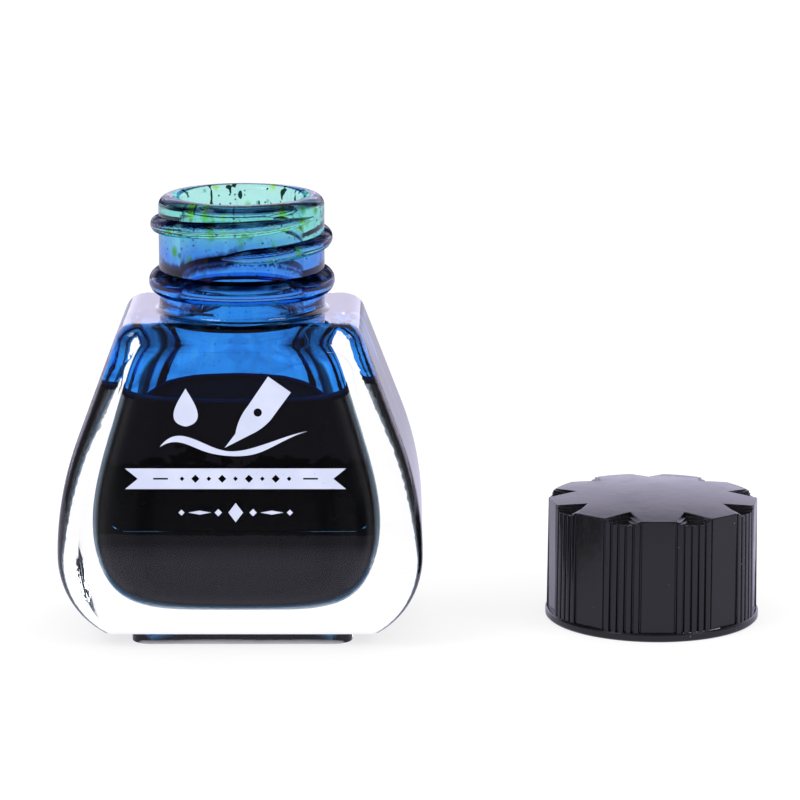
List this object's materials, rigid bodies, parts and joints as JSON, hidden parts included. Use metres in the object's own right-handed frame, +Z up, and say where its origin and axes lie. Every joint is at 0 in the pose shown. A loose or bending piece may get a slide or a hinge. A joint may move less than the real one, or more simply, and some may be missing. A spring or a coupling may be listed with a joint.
{
  "type": "ink bottle",
  "caption": "Tapering thick-walled glass ink bottle with a wide threaded neck, part filled with ink, and its ribbed black screw cap standing beside it.",
  "frame": {"origin": "middle of the bottle's flat base, on the table plane", "axes": "+Z up along the neck's axis, -Y towards the printed front, +X towards the side where the cap stands"},
  "size_m": [0.1075, 0.0396, 0.0671],
  "materials": {
    "clear_glass": "clear, thick pressed glass with a polished surface",
    "blue_ink": "nearly black blue writing ink",
    "label_enamel": "thin screen-printed pale enamel",
    "cap_plastic": "glossy black moulded plastic",
    "liner_foam": "soft white foam sealing disc"
  },
  "bodies": {
    "bottle": {"glass_bottle": "clear_glass", "ink": "blue_ink", "emblem_print": "label_enamel", "banner_print": "label_enamel", "motif_print": "label_enamel"},
    "liner": {"cap_liner": "liner_foam"},
    "cap": {"screw_cap": "cap_plastic"}
  },
  "joints": [
    {"name": "cap_lift", "type": "slide", "parent": "bottle", "child": "liner", "axis": [0, 0, 1], "range_m": [0, 0.07]},
    {"name": "cap_turn", "type": "hinge", "parent": "liner", "child": "cap", "pos_m": [0.0634, 0.0045, 0], "axis": [0, 0, 1], "continuous": true}
  ]
}
